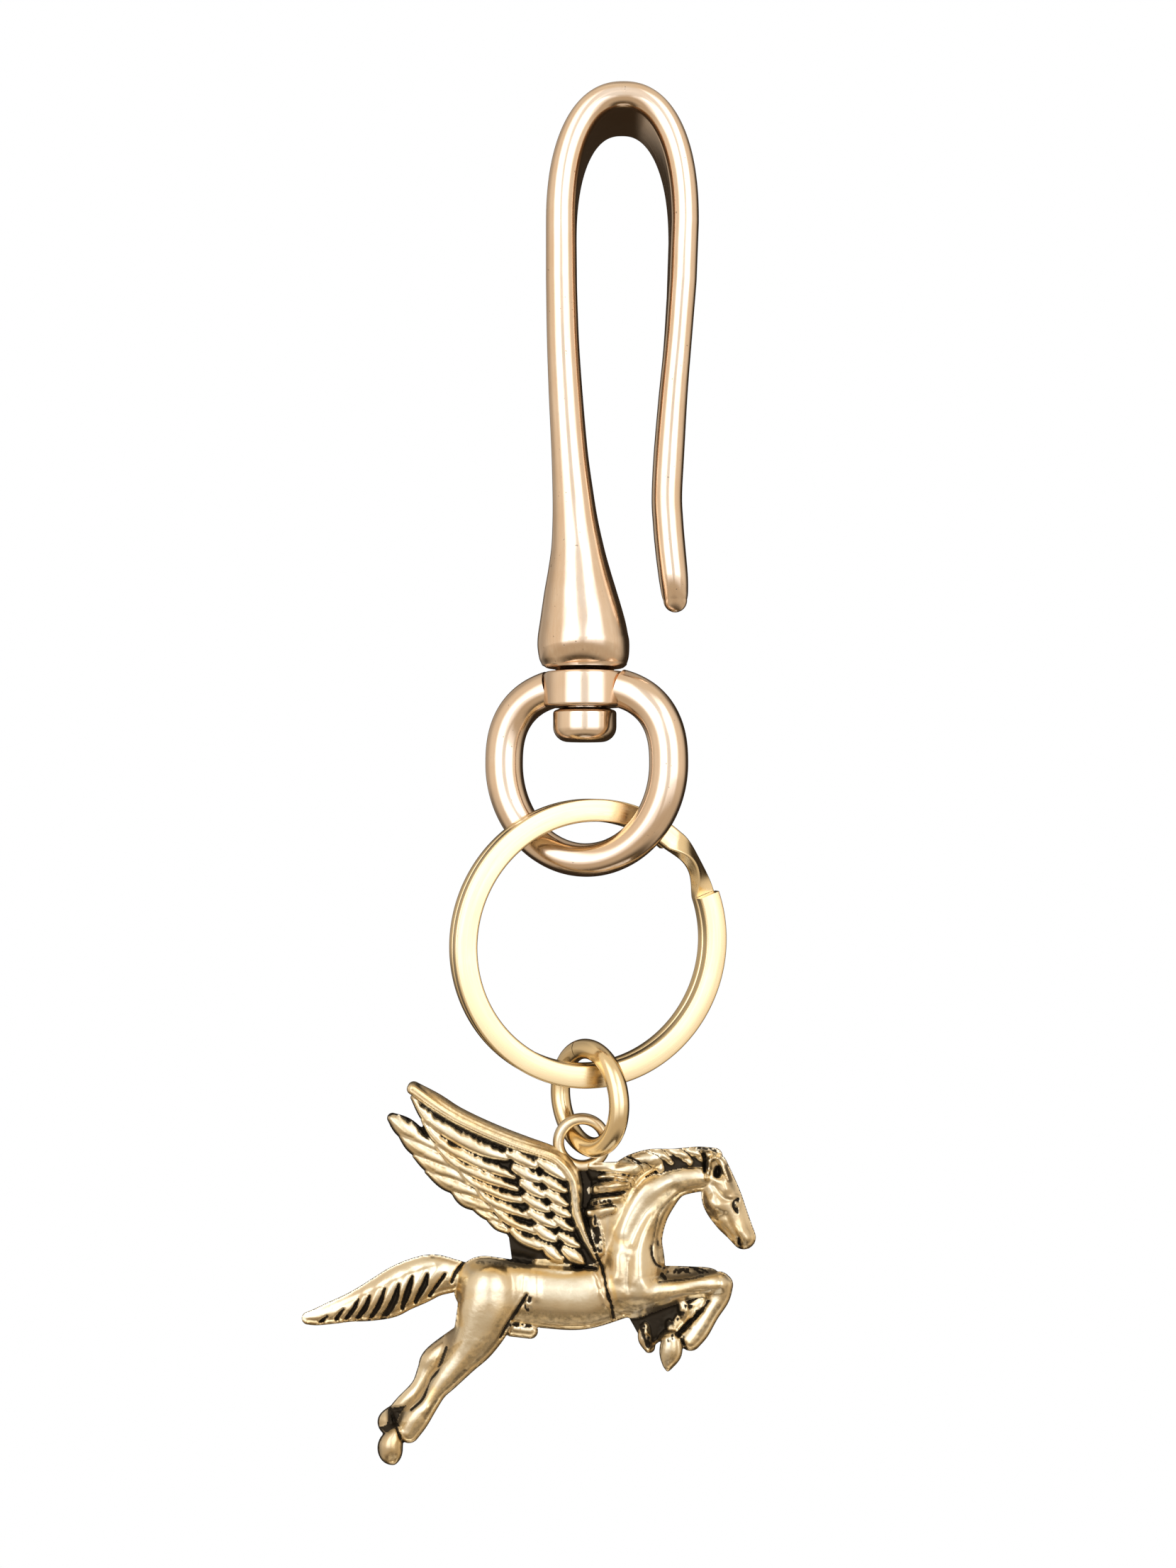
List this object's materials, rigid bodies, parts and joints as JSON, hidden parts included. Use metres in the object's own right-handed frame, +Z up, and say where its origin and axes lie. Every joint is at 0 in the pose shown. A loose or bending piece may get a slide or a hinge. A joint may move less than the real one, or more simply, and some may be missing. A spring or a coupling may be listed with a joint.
{
  "type": "brass keychain",
  "caption": "Belt hook with a swivelling bow that carries a split ring for keys, a jump ring and a winged horse charm, all in brass.",
  "frame": {"origin": "where the belt bears: the inside middle of the hook's crown", "axes": "+Z up, +X from the hook's leg to its point, -Y to the pictured front"},
  "size_m": [0.0481, 0.0126, 0.1444],
  "materials": {
    "hook": "polished, rosy",
    "swivel_pin": "polished, rosy",
    "swivel_bow": "polished, rosy",
    "split_ring": "polished, yellow",
    "jump_ring": "polished, yellow",
    "winged_horse": "antique, dark in the recesses"
  },
  "bodies": {
    "hook": {"hook": "hook", "swivel_pin": "swivel_pin"},
    "bow": {"swivel_bow": "swivel_bow"},
    "key_ring": {"split_ring": "split_ring"},
    "link": {"jump_ring": "jump_ring"},
    "charm": {"winged_horse": "winged_horse"}
  },
  "joints": [
    {"name": "bow_swivel", "type": "hinge", "parent": "hook", "child": "bow", "pos_m": [-0.00398, 0, -0.06], "axis": [0, 0, 1], "continuous": true},
    {"name": "ring_swing", "type": "hinge", "parent": "bow", "child": "key_ring", "pos_m": [-0.00398, 0, -0.07786], "axis": [0.9397, -0.342, 0], "range_deg": [-25, 15]},
    {"name": "jump_swing", "type": "hinge", "parent": "key_ring", "child": "link", "pos_m": [-0.00328, 0, -0.10058], "axis": [0.9397, 0.342, 0], "range_deg": [-30, 30]},
    {"name": "charm_swing", "type": "hinge", "parent": "link", "child": "charm", "pos_m": [-0.00353, 0, -0.10813], "axis": [0.6018, -0.7986, 0], "range_deg": [-8, 40]}
  ]
}
